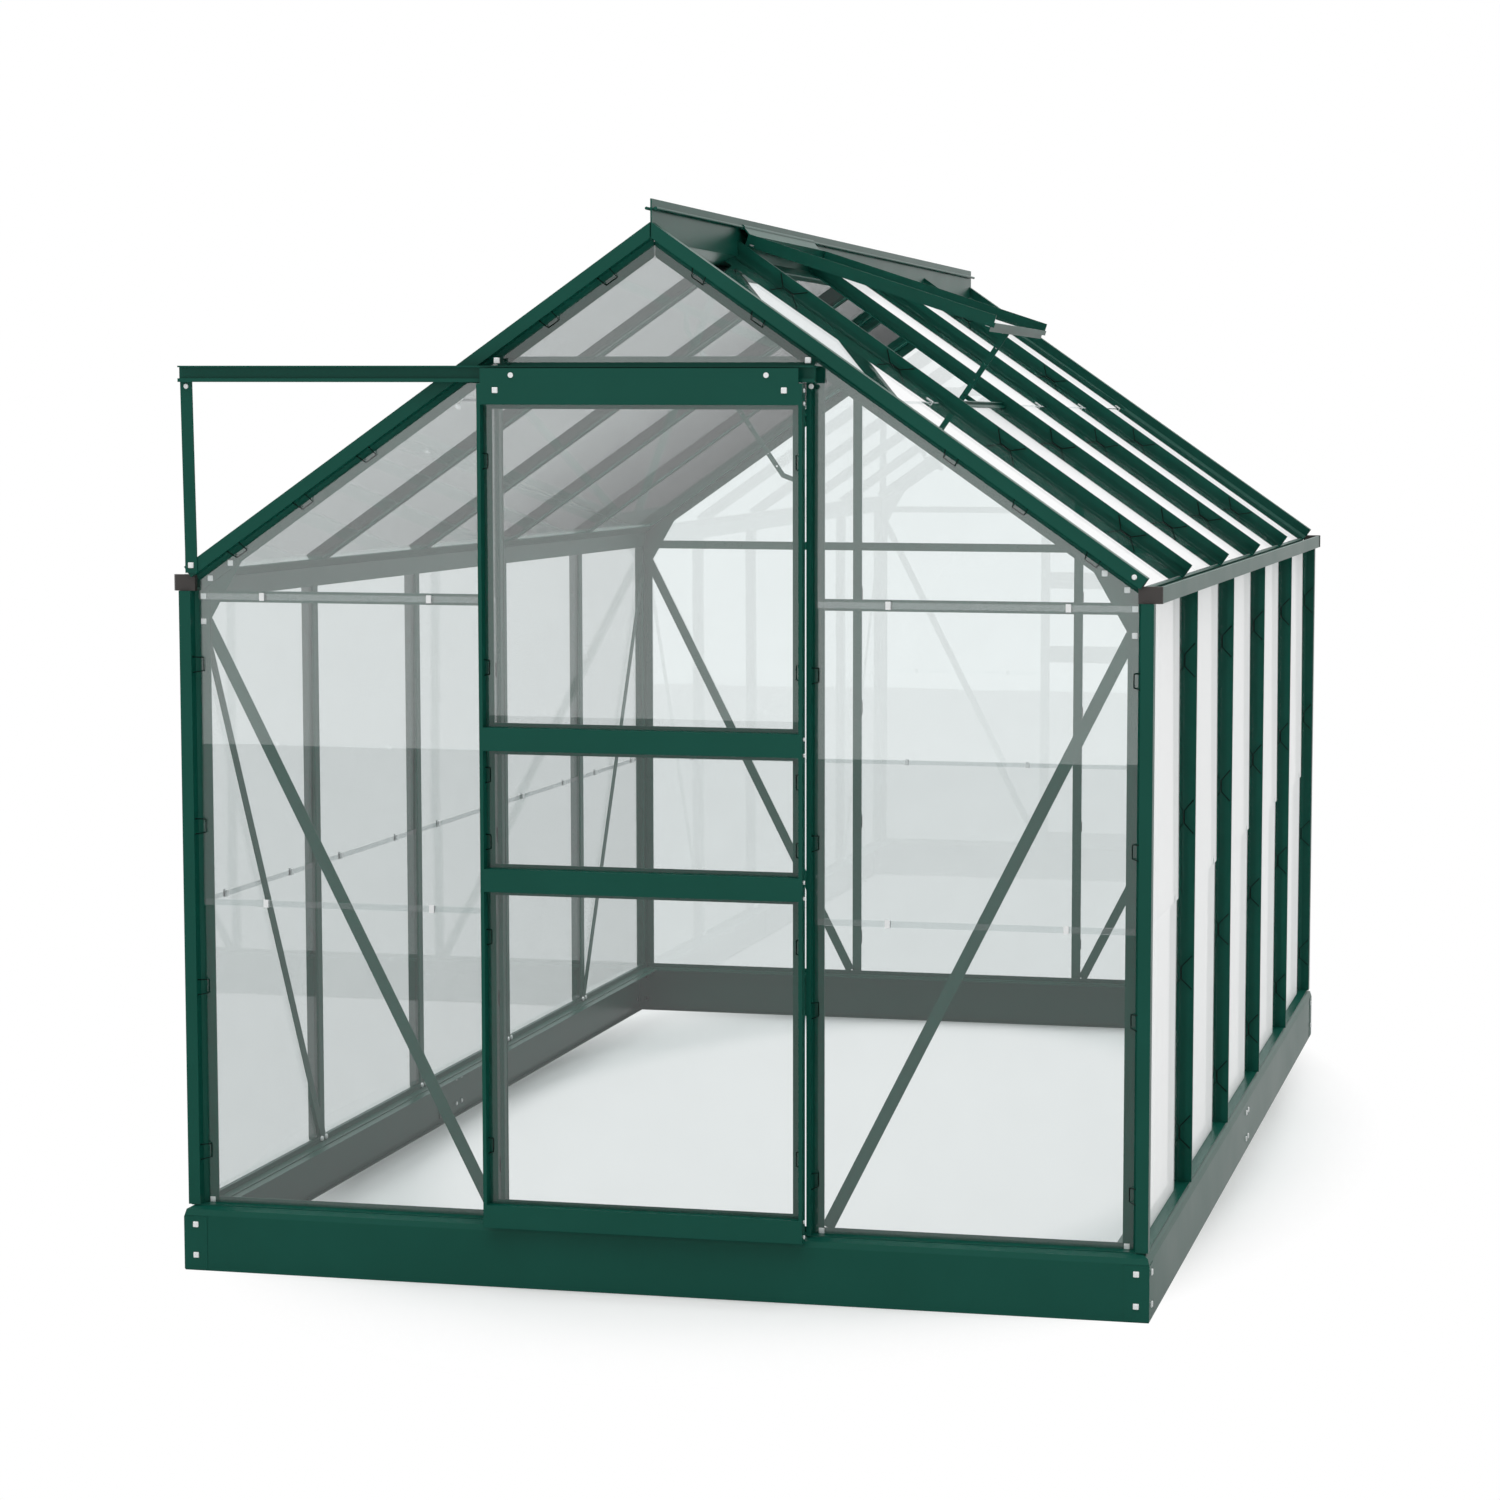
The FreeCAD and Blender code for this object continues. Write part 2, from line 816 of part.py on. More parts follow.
def door_glass():
    edges = [door_bottom + rail_height / 2]
    edges += list(mid_rail_heights)
    edges += [door_top - top_rail_height + rail_height / 2]
    inset = rail_height / 2 - groove_depth + pane_groove_gap
    panes = []
    x_low = door_left_edge + stile_web + pane_groove_gap
    x_high = door_right_edge - stile_web - pane_groove_gap
    for low, high in zip(edges, edges[1:]):
        panes.append(block((x_low, pane_front, low + inset), (x_high, pane_back, high - inset)))
    return panes


roller_height = track_ledge + track_sheet + roller_gap + roller_radius
track_front = door_front + door_panel_sheet + track_front_gap
track_web = track_front + track_channel
roller_front = track_web - roller_side_gap - roller_width
track_back = -gable_tip
track_left = track_end_inset - wall_tip
track_right = jamb_centre + track_overrun


def track_section():
    """Channel open to the front in (depth, height): a lipped ledge, a web and a flange back to the bars."""
    t = track_sheet
    ledge_top = track_ledge + t
    lip_back = track_front + track_lip_sheet
    web_back = track_web + t
    under_flange = track_top - t
    return [
        (track_front, track_top), (track_back, track_top), (track_back, under_flange),
        (web_back, under_flange), (web_back, track_ledge), (track_front, track_ledge),
        (track_front, ledge_top + track_lip), (lip_back, ledge_top + track_lip), (lip_back, ledge_top),
        (track_web, ledge_top), (track_web, under_flange), (track_front, under_flange),
    ]


def door_track():
    points = [Vector(track_left, d, z) for d, z in track_section()]
    return face_of(points).extrude(X * (track_right - track_left))


def track_strut():
    """Flat upright from the left rake to the far end of the track, bent at both ends to lie flat on them."""
    foot = apex_height - (wall_tip - strut_width) * math.tan(slope) - strut_foot_drop
    head = track_top - track_sheet
    high = track_ledge - strut_head_margin
    low = foot + strut_foot_flat
    near = track_web + track_sheet
    t = strut_sheet
    points = [
        (near + t, head), (near + t, high), (track_back, low), (track_back, foot), (track_back - t, foot),
        (track_back - t, low), (near, high), (near, head),
    ]
    return face_of([Vector(track_left, d, z) for d, z in points]).extrude(X * strut_width)


def roller_places():
    return [door_centre() - roller_spacing / 2, door_centre() + roller_spacing / 2]


def roller(x):
    start = Vector(x, roller_front, roller_height)
    wheel = Part.makeCylinder(roller_radius, roller_width, start, Y)
    return wheel.cut(Part.makeCylinder(axle_radius + roller_fit, roller_width, start, Y))


def roller_axles():
    """Bolts through the door's top rail that carry the rollers."""
    axles = []
    for x in roller_places():
        start = Vector(x, door_front, roller_height)
        shank = Part.makeCylinder(axle_radius, roller_front + roller_width - door_front, start, Y)
        head_start = Vector(x, door_front - axle_head_height, roller_height)
        head = Part.makeCylinder(axle_head_radius, axle_head_height, head_start, Y)
        axles.append(shank.fuse(head).removeSplitter())
    return axles


def vent_edges(bay):
    """Outer edges along Y of the vent in a bay."""
    low = -grid_y + bay_pitch * (bay - 1) + vent_side_gap
    return low, low + bay_pitch - 2 * vent_side_gap


# The hinge axis of the vents in roof terms, and the vent's depths from it
hinge_out = bead_out * math.sin(slope) + bead_rise * math.cos(slope)
hinge_along = bead_out * math.cos(slope) - bead_rise * math.sin(slope)
vent_high = vent_top_out - hinge_out
vent_low = -vent_bottom_in - hinge_out
vent_length = vent_end - hinge_along
pivot_e = stay_pivot_along - hinge_along
pivot_m = -stay_pivot_in - hinge_out
sill_crest = seat_depth + vent_sill_rise


def vent_axes(opening):
    """Directions along and out of the right vent, opened by an angle from its seat."""
    angle = slope - math.radians(opening)
    along = Vector(math.cos(angle), 0, -math.sin(angle))
    return along, Vector(math.sin(angle), 0, math.cos(angle))


def vent_point(opening, e, m, y):
    along, out = vent_axes(opening)
    return bead_centre() + along * e + out * m + Y * y


def vent_run(opening, section, low, high):
    points = [vent_point(opening, e, m, low) for e, m in section]
    return face_of(points).extrude(Y * (high - low))


def vent_top_rail_piece(opening, bay):
    """Top rail with a split socket that hangs on the ridge bead."""
    low, high = vent_edges(bay)
    t = vent_sheet
    start = vent_rail_start
    end = start + vent_top_rail
    seat = vent_low + t
    groove = seat + glass_thickness + pane_groove_gap
    half_arm = socket_arm / 2
    section = [
        (bead_radius, half_arm), (start + t, vent_high), (end, vent_high), (end, groove),
        (end - groove_depth, groove), (end - groove_depth, seat), (end, seat), (end, vent_low),
        (start, vent_low), (start, vent_high - t), (bead_radius, -half_arm),
    ]
    rail = vent_run(opening, section, low, high)
    foot = bead_centre() + Y * low
    length = high - low
    outer = bead_radius + socket_wall
    rail = rail.fuse(Part.makeCylinder(outer, length, foot, Y))
    rail = rail.cut(Part.makeCylinder(bead_radius + socket_fit, length, foot, Y))
    reach = 2 * outer
    spread = math.radians(socket_mouth / 2)
    middle = math.radians(opening + socket_mouth_turn - vent_open_angle)
    turns = (middle + spread, middle - spread)
    tips = [Vector(-math.cos(a) * reach, 0, math.sin(a) * reach) for a in turns]
    mouth = face_of([foot, foot + tips[0], foot + tips[1]]).extrude(Y * length)
    return rail.cut(mouth).removeSplitter()


def vent_side_bars(opening, bay):
    """Two deep side bars with a flange under the glass, between the top and lower rails."""
    low, high = vent_edges(bay)
    t = vent_sheet
    start = vent_rail_start + vent_top_rail
    end = vent_length - vent_lower_web
    along, out = vent_axes(opening)
    bars = []
    for edge, inward in ((low, 1), (high, -1)):
        pairs = [
            (0, vent_low), (vent_side_flange, vent_low), (vent_side_flange, vent_low + t),
            (vent_side_web, vent_low + t), (vent_side_web, vent_high), (0, vent_high),
        ]
        points = [vent_point(opening, start, m, edge + inward * a) for a, m in pairs]
        bar = face_of(points).extrude(along * (end - start))
        bars.append(bar.cut(vent_run(opening, lower_flange_section(), low, high)))
    return bars


def lower_flange_section():
    """Flange of the lower rail, which carries the ends of the side bars."""
    start = vent_length - vent_lower_flange
    return [
        (start, vent_low), (vent_length, vent_low), (vent_length, vent_low + vent_sheet),
        (start, vent_low + vent_sheet),
    ]


def vent_lower_rail(opening, bay):
    """Angle along the lower edge: a lip that rests on the sill, and two ears and a pin for the stay."""
    low, high = vent_edges(bay)
    end = vent_length
    t = vent_sheet
    start = end - vent_lower_flange
    lip_far = vent_sill_start + vent_sill_web - hinge_along
    lip_near = lip_far - t
    lip_foot = sill_crest + vent_rest_gap - hinge_out
    lip_top = vent_low + vent_lower_lip
    section = [
        (start, vent_low), (lip_near, vent_low), (lip_near, lip_foot), (lip_far, lip_foot),
        (lip_far, vent_low), (end, vent_low), (end, lip_top), (end - vent_lower_web, lip_top),
        (end - vent_lower_web, vent_low + t), (start, vent_low + t),
    ]
    rail = vent_run(opening, section, low, high)
    middle = (low + high) / 2
    ear_face = stay_sheet / 2 + stay_ear_gap
    half = stay_width / 2
    tip = pivot_m - stay_ear_tip
    ear_near = pivot_e - half
    ear_far = pivot_e + half
    ear = [(ear_near, vent_low), (ear_near, tip), (ear_far, tip), (ear_far, vent_low)]
    for near in (middle - ear_face - stay_ear_sheet, middle + ear_face):
        rail = rail.fuse(vent_run(opening, ear, near, near + stay_ear_sheet))
    pin_start = vent_point(opening, pivot_e, pivot_m, middle - ear_face)
    rail = rail.fuse(Part.makeCylinder(stay_pin_radius, 2 * ear_face, pin_start, Y))
    return rail.removeSplitter()


def vent_glass(opening, bay):
    low, high = vent_edges(bay)
    start = vent_rail_start + vent_top_rail - groove_depth + pane_groove_gap
    end = vent_length - vent_lower_web - pane_groove_gap
    seat = vent_low + vent_sheet
    section = [(start, seat), (end, seat), (end, seat + glass_thickness), (start, seat + glass_thickness)]
    side = vent_side_web + pane_groove_gap
    return vent_run(opening, section, low + side, high - side)


def open_pivot():
    """Place of the stay's pivot in roof terms when a vent stands open."""
    point = vent_point(vent_open_angle, pivot_e, pivot_m, 0) - roof_point(0, 0)
    return point.dot(down_slope), point.dot(off_slope)


def vent_stay(opening, bay):
    """Flat stay square to the roof, with peg holes and a bent grip."""
    low, high = vent_edges(bay)
    y = (low + high) / 2 - stay_sheet / 2
    pivot = vent_point(opening, pivot_e, pivot_m, y)
    down = off_slope * -1
    across = down_slope
    half = stay_width / 2
    bend = math.radians(stay_grip_angle)
    straight = stay_length - stay_grip
    tail = down * math.cos(bend) - across * math.sin(bend)
    tail_side = across * math.cos(bend) + down * math.sin(bend)
    knee_shift = half * math.tan(bend / 2)
    near_knee = pivot + down * (straight - knee_shift) - across * half
    far_knee = pivot + down * (straight + knee_shift) + across * half
    end = pivot + down * straight + tail * stay_grip
    outline = [
        pivot - across * half, near_knee, end - tail_side * half, end + tail_side * half, far_knee,
        pivot + across * half,
    ]
    bar = face_of(outline).extrude(Y * stay_sheet)
    bar = bar.fuse(Part.makeCylinder(half, stay_sheet, pivot, Y))
    bar = bar.cut(Part.makeCylinder(stay_pin_radius + stay_pin_fit, stay_sheet, pivot, Y))
    first = open_pivot()[1] + peg_in - peg_hole * stay_hole_pitch
    for k in range(stay_holes):
        centre = pivot + down * (first + k * stay_hole_pitch)
        bar = bar.cut(Part.makeCylinder(stay_hole_radius, stay_sheet, centre, Y))
    return bar.removeSplitter()


def vent_sill(bay):
    """Cross bar between roof bars: a crest under the vent, a cover over the pane, a peg for the stay."""
    low = -grid_y + bay_pitch * (bay - 1) + bar_web / 2
    high = low + bay_pitch - bar_web
    web = vent_sill_start
    back = web + vent_sill_web
    cover = seat_depth + glass_thickness + lap_gap
    cover_top = cover + vent_sill_sheet
    far = back + vent_sill_cover
    section = [
        (web, seat_depth), (back, seat_depth), (back, cover), (far, cover), (far, cover_top),
        (back, cover_top), (back, sill_crest), (web, sill_crest),
    ]
    sill = face_of([roof_point(s, n, low) for s, n in section]).extrude(Y * (high - low))
    middle = (low + high) / 2
    peg_along = open_pivot()[0]
    peg_near = middle + stay_sheet / 2 + peg_gap
    near = peg_along - peg_margin
    bracket = [(web, seat_depth), (web, sill_crest), (near, sill_crest), (near, seat_depth)]
    side = face_of([roof_point(s, n, peg_near + peg_length) for s, n in bracket]).extrude(Y * vent_sill_web)
    peg = Part.makeCylinder(peg_radius, peg_length, roof_point(peg_along, -peg_in, peg_near), Y)
    return sill.fuse(side).fuse(peg).removeSplitter()


def left_side(shapes):
    """The same pieces on the left slope: the greenhouse looks the same turned half round."""
    return [half_turned(s) for s in shapes]


def mirrored_sides(shapes):
    return [side_mirror(s) for s in shapes]


def four_corners(shape):
    right = [shape, end_mirror(shape)]
    return right + mirrored_sides(right)


def build():
    """Every named piece, as a list of solids for each."""
    parts = {}
    parts["base_front"] = [base_end()]
    parts["base_back"] = [end_mirror(base_end())]
    parts["base_right"] = base_side()
    parts["base_left"] = mirrored_sides(base_side())
    splices = [splice_plate(), side_mirror(splice_plate())]
    parts["base_joint_plates"] = four_corners(base_corner_plate()) + splices
    parts["sill_front"] = [sill_end()]
    parts["sill_back"] = [end_mirror(sill_end())]
    parts["sill_right"] = [sill_side()]
    parts["sill_left"] = [side_mirror(sill_side())]
    post = corner_post()
    parts["corner_post_front_right"] = [post]
    parts["corner_post_front_left"] = [side_mirror(post)]
    parts["corner_post_back_right"] = [end_mirror(post)]
    parts["corner_post_back_left"] = [end_mirror(side_mirror(post))]
    parts["wall_bars_right"] = wall_bars()
    parts["wall_bars_left"] = mirrored_sides(wall_bars())
    parts["roof_bars_right"] = roof_bars()
    parts["roof_bars_left"] = mirrored_sides(roof_bars())
    front_rakes = [rake(), side_mirror(rake())]
    parts["front_rakes"] = front_rakes
    parts["back_rakes"] = [end_mirror(r) for r in front_rakes]
    parts["back_gable_bars"] = back_gable_bars()
    parts["door_jambs"] = door_jambs()
    parts["eave_gutter_right"] = [eave_gutter()]
    parts["eave_gutter_left"] = [side_mirror(eave_gutter())]
    parts["gutter_end_caps"] = four_corners(gutter_end_cap())
    parts["ridge_bar"] = [ridge_bar()]
    parts["eave_gussets"] = four_corners(gusset())
    parts["eave_ties"] = [front_tie(), side_mirror(front_tie()), back_tie()]
    parts["door_transom"] = [door_transom()]
    front_brace = gable_brace(jamb_centre + jamb_flange)
    back_brace = end_mirror(gable_brace(gable_line + flange_width / 2))
    parts["gable_braces"] = [front_brace, side_mirror(front_brace), back_brace, side_mirror(back_brace)]
    parts["wall_braces"] = four_corners(wall_brace())
    parts["glass_front"] = front_glass()
    parts["glass_back"] = back_glass()
    parts["glass_right_wall"] = wall_glass()
    parts["glass_left_wall"] = mirrored_sides(wall_glass())
    parts["glass_roof_right"] = roof_glass(right_vent_bay)
    parts["glass_roof_left"] = mirrored_sides(roof_glass(left_vent_bay))
    parts["door_track"] = [door_track()]
    parts["track_strut"] = [track_strut()]
    parts["door_right_stile"] = [door_stile()]
    parts["door_left_stile"] = [left_stile()]
    parts["door_top_rail"] = [door_top_rail()]
    parts["door_mid_rails"] = door_mid_rails()
    parts["door_bottom_rail"] = [door_bottom_rail()]
    parts["door_glass"] = door_glass()
    parts["door_roller_axles"] = roller_axles()
    for name, x in zip(("door_roller_left", "door_roller_right"), roller_places()):
        parts[name] = [roller(x)]
    turned_bay = bays_long + 1 - left_vent_bay
    parts["vent_sills"] = [vent_sill(right_vent_bay), half_turned(vent_sill(turned_bay))]
    right_vent = ("right", right_vent_bay, vent_open_angle, list)
    left_vent = ("left", turned_bay, 0.0, left_side)
    for side, own_bay, opening, turn in (right_vent, left_vent):
        parts[side + "_vent_top_rail"] = turn([vent_top_rail_piece(opening, own_bay)])
        parts[side + "_vent_side_bars"] = turn(vent_side_bars(opening, own_bay))
        parts[side + "_vent_lower_rail"] = turn([vent_lower_rail(opening, own_bay)])
        parts[side + "_vent_glass"] = turn([vent_glass(opening, own_bay)])
        parts[side + "_vent_stay"] = turn([vent_stay(opening, own_bay)])
    return parts


def main():
    os.makedirs("parts", exist_ok=True)
    centring = Y * ((axle_head_height + door_depth + door_clearance) / 2)
    for name, solids in build().items():
        loose = [solid for shape in solids for solid in shape.Solids]
        shape = loose[0] if len(loose) == 1 else Part.makeCompound(loose)
        shape.translate(centring)
        shape.exportStep(os.path.join("parts", name + ".step"))


main()
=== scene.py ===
"""Looks of the aluminium greenhouse: powder coat, glass, small fittings, floor, light and camera."""

import json
import math

import bmesh
import bpy
from mathutils import Matrix, Vector


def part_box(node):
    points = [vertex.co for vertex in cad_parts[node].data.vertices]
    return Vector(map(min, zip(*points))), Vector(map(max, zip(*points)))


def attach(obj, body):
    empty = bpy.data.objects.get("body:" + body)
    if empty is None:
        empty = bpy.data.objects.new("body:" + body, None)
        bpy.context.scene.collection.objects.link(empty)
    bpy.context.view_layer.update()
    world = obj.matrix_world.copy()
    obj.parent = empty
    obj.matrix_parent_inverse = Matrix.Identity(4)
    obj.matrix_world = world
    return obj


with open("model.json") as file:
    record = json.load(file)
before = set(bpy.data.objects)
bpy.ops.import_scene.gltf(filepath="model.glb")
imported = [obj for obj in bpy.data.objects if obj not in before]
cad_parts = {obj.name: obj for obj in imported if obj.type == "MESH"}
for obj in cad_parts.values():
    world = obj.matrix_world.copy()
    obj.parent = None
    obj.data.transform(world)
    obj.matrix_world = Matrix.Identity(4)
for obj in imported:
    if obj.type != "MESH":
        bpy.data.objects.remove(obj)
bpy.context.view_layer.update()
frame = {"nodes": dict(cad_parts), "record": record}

# Sizes of the greenhouse that its fittings follow, in metres
MM = 0.001
bay = 620 * MM
bays = 5
half_length = bays / 2 * bay
along_middle = 14 * MM
roof_slope = math.radians(34.8)
apex_height = 2036 * MM
bar_proud = 28 * MM
glass_sheet = 3 * MM
half_lap = 6 * MM
lap_lean = 3.2 * MM
wall_lap = 727 * MM
gable_laps = (wall_lap, 1325 * MM)
roof_lap = 547 * MM
vent_bay = 2
vent_rest = math.radians(16.8)

right_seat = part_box("glass_right_wall")[0][0]
front_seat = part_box("glass_front")[1][1]
back_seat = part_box("glass_back")[0][1]
plate_low, plate_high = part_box("base_joint_plates")


# Nodes of the materials

def linear(hex_colour):
    """sRGB hex to the linear colour that the shaders take."""
    channels = [int(hex_colour[k:k + 2], 16) / 255 for k in (1, 3, 5)]
    return [c / 12.92 if c <= 0.04045 else ((c + 0.055) / 1.055) ** 2.4 for c in channels] + [1.0]


def add(tree, kind, inputs=(), **settings):
    """One node with its settings; an input is a value, or an output socket to link from."""
    made = tree.nodes.new(kind)
    for name, value in settings.items():
        setattr(made, name, value)
    for socket, value in dict(inputs).items():
        if isinstance(value, bpy.types.NodeSocket):
            tree.links.new(value, made.inputs[socket])
        else:
            made.inputs[socket].default_value = value
    return made


def stepped(tree, value, stops):
    """A grey ramp through the given positions and levels."""
    made = add(tree, "ShaderNodeValToRGB", {"Fac": value})
    steps = made.color_ramp.elements
    for position, _ in stops[1:-1]:
        steps.new(position)
    for step, (position, level) in zip(steps, stops):
        step.position = position
        step.color = (level, level, level, 1.0)
    return made.outputs["Color"]


def maths(tree, operation, first, second=0.0):
    return add(tree, "ShaderNodeMath", {0: first, 1: second}, operation=operation).outputs[0]


def between(tree, share, first, second):
    """From the first number to the second, by a share."""
    made = add(tree, "ShaderNodeMix", {"Factor": share, "A": first, "B": second}, data_type="FLOAT")
    return made.outputs["Result"]


def toned(tree, share, first, second):
    """From the first colour to the second, by a share."""
    colours = {"Factor": share, "A": linear(first), "B": linear(second)}
    return add(tree, "ShaderNodeMix", colours, data_type="RGBA").outputs["Result"]


def blended(tree, share, first, second):
    """From the first surface to the second, by a share."""
    return add(tree, "ShaderNodeMixShader", {0: share, 1: first, 2: second}).outputs["Shader"]


def noise(tree, place, size, detail):
    """Cloudy pattern with patches of about that size."""
    made = add(tree, "ShaderNodeTexNoise", {"Vector": place, "Scale": 1 / size, "Detail": detail})
    return made.outputs["Fac"]


def bumped(tree, height, strength, depth):
    made = add(tree, "ShaderNodeBump", {"Height": height, "Strength": strength, "Distance": depth})
    return made.outputs["Normal"]


def new_material(name):
    """An empty material, its node tree and the place on the piece in metres."""
    made = bpy.data.materials.new(name)
    made.use_nodes = True
    tree = made.node_tree
    tree.nodes.clear()
    return made, tree, add(tree, "ShaderNodeTexCoord").outputs["Object"]


def surface(tree, shader):
    add(tree, "ShaderNodeOutputMaterial", {"Surface": shader})


# Materials

def green_powder_coat():
    """Baked green powder on aluminium: satin, with a fine orange peel that breaks up the highlights."""
    made, tree, place = new_material("green_powder_coat")
    # Real peel is about 2 mm across; it is drawn at 7 mm so that it shows
    peel = noise(tree, place, 7 * MM, 2.0)
    # Film thickness wanders over a hand's breadth and shifts the tone slightly
    film = noise(tree, place, 180 * MM, 3.0)
    gloss = add(
        tree, "ShaderNodeMapRange",
        {"Value": film, "From Min": 0.3, "From Max": 0.7, "To Min": 0.3, "To Max": 0.33},
    )
    coat = add(tree, "ShaderNodeBsdfPrincipled", {
        "Base Color": toned(tree, film, "#0A4539", "#0E4E42"), "Roughness": gloss.outputs["Result"],
        "Normal": bumped(tree, peel, 0.06, 0.2 * MM), "Specular IOR Level": 0.16,
    })
    surface(tree, coat.outputs["BSDF"])
    return made


def painted_reflection_veil(tree, place, edge_on):
    """How much of a pane a pale veil covers: a painted reflection that stands in for the glass's bright
    mirroring where the pane is seen along its face. On the slopes it starts later, and their front bay has
    none, so it mirrors the open vent."""
    outward = add(tree, "ShaderNodeNewGeometry").outputs["True Normal"]
    rise = add(tree, "ShaderNodeSeparateXYZ", {"Vector": outward}).outputs["Z"]
    upright = stepped(tree, maths(tree, "ABSOLUTE", rise), ((0.1, 1.0), (0.3, 0.0)))
    on_wall = stepped(tree, edge_on, ((0.852, 0.0), (0.868, 0.85)))
    on_slope = stepped(tree, edge_on, ((0.872, 0.0), (0.885, 0.85)))
    along = add(tree, "ShaderNodeSeparateXYZ", {"Vector": place}).outputs["Y"]
    past_first = maths(tree, "SUBTRACT", along, along_middle - half_length)
    from_bar = maths(tree, "PINGPONG", past_first, bay / 2)
    later_bay = maths(tree, "GREATER_THAN", past_first, bay)
    # A strip beside each bar is kept free of the painted veil, so the bars mirror in it
    wall_strip = 78 * MM
    slope_strip = 180 * MM
    strip_edge = 22 * MM

    def beside(strip):
        made = add(
            tree, "ShaderNodeMapRange",
            {"Value": from_bar, "From Min": strip, "From Max": strip + strip_edge},
        )
        return made.outputs["Result"]

    wall = maths(tree, "MULTIPLY", on_wall, beside(wall_strip))
    slope = maths(tree, "MULTIPLY", on_slope, beside(slope_strip))
    return between(tree, upright, maths(tree, "MULTIPLY", slope, later_bay), wall)


def float_glass():
    """Horticultural float glass: see-through with a grey-green cast, brightest seen along its face, where a
    painted reflection veils it.
    """
    made, tree, place = new_material("float_glass")
    # Rolled sheet waves over about 250 mm, which bends what it mirrors a little
    wave = noise(tree, place, 250 * MM, 1.0)
    # A film of dust dulls it by a percent or two in patches
    dust = noise(tree, place, 90 * MM, 4.0)
    tint = toned(tree, dust, "#F8FAFA", "#FAFCFC")
    edge_on = add(tree, "ShaderNodeLayerWeight", {"Blend": 0.5}).outputs["Facing"]
    # The way through the sheet is longer at a slant, so less light comes through
    slant = stepped(tree, edge_on, ((0.3, 1.0), (0.62, 0.96)))
    cast = add(
        tree, "ShaderNodeMix", {"Factor": 1.0, "A": tint, "B": slant},
        data_type="RGBA", blend_type="MULTIPLY",
    )
    clear = add(tree, "ShaderNodeBsdfTransparent", {"Color": cast.outputs["Result"]})
    mirror = add(
        tree, "ShaderNodeBsdfGlossy",
        {"Color": linear("#FFFFFF"), "Roughness": 0.0, "Normal": bumped(tree, wave, 0.05, 1 * MM)},
    )
    share = stepped(tree, edge_on, (
        (0.5, 0.1), (0.65, 0.16), (0.79, 0.29), (0.83, 0.37), (0.866, 0.82), (0.92, 0.86),
    ))
    # Light on its way to other surfaces goes straight through, and so do mirrored views
    rays = add(tree, "ShaderNodeLightPath").outputs
    passing = maths(tree, "MAXIMUM", rays["Is Shadow Ray"], rays["Is Diffuse Ray"])
    passing = maths(tree, "MAXIMUM", passing, rays["Is Glossy Ray"])
    seen = between(tree, passing, share, 0.0)
    unveiled_glass = blended(tree, seen, clear.outputs["BSDF"], mirror.outputs["BSDF"])
    # Painted reflection: a pale diffuse sheet, seen only from the camera, stands in for the glass's bright
    # mirroring where it is seen along its face
    painted_veil_share = maths(tree, "MULTIPLY", rays["Is Camera Ray"], painted_reflection_veil(tree, place, edge_on))
    film = add(tree, "ShaderNodeBsdfDiffuse", {"Color": linear("#F6F7F7")})
    surface(tree, blended(tree, painted_veil_share, unveiled_glass, film.outputs["BSDF"]))
    return made


def bright_metal(name, colour, metallic, roughness, grain, shine=0.5):
    """Plated or drawn metal, with fine streaks from the tool that made it."""
    made, tree, place = new_material(name)
    spread = 0.08
    gloss = add(tree, "ShaderNodeMapRange", {
        "Value": noise(tree, place, grain, 3.0), "To Min": roughness - spread, "To Max": roughness + spread,
    })
    metal = add(tree, "ShaderNodeBsdfPrincipled", {
        "Base Color": linear(colour), "Metallic": metallic, "Roughness": gloss.outputs["Result"],
        "Specular IOR Level": shine,
    })
    surface(tree, metal.outputs["BSDF"])
    return made


def moulded_plastic(name, dark, light, roughness):
    """Moulded plastic: even colour with a faint mottle, and a spark-eroded texture that dulls it."""
    made, tree, place = new_material(name)
    grit = noise(tree, place, 2 * MM, 2.0)
    plastic = add(tree, "ShaderNodeBsdfPrincipled", {
        "Base Color": toned(tree, grit, dark, light), "Roughness": roughness,
        "Normal": bumped(tree, grit, 0.2, 0.1 * MM),
    })
    surface(tree, plastic.outputs["BSDF"])
    return made


finishes = {
    "green_coat": green_powder_coat(),
    "glass": float_glass(),
    "black_plastic": moulded_plastic("black_polypropylene", "#35312F", "#3D3937", 0.5),
    "nylon": moulded_plastic("turned_nylon", "#DEDCD4", "#E6E4DC", 0.4),
    "plated_steel": bright_metal("zinc_plated_steel", "#EDEFEF", 0.3, 0.4, 4 * MM),
}
spring_wire = bright_metal("blued_spring_wire", "#0B1512", 0.0, 0.6, 3 * MM, 0.08)
clip_strip = bright_metal("aluminium_strip", "#EEF0F0", 0.4, 0.42, 2 * MM)


def dress_nodes():
    for part in frame["record"]["subparts"]:
        node = frame["nodes"][part["node"]]
        for slot in node.material_slots:
            slot.material = finishes[part["material_slot"]]


# Planes that the fittings stand on

def seat(origin, across, along):
    """Axes of a plane of glass: across its bars, along them and outward."""
    across = Vector(across).normalized()
    along = Vector(along).normalized()
    axes = Matrix((across, along, across.cross(along))).transposed().to_4x4()
    return Matrix.Translation(Vector(origin)) @ axes


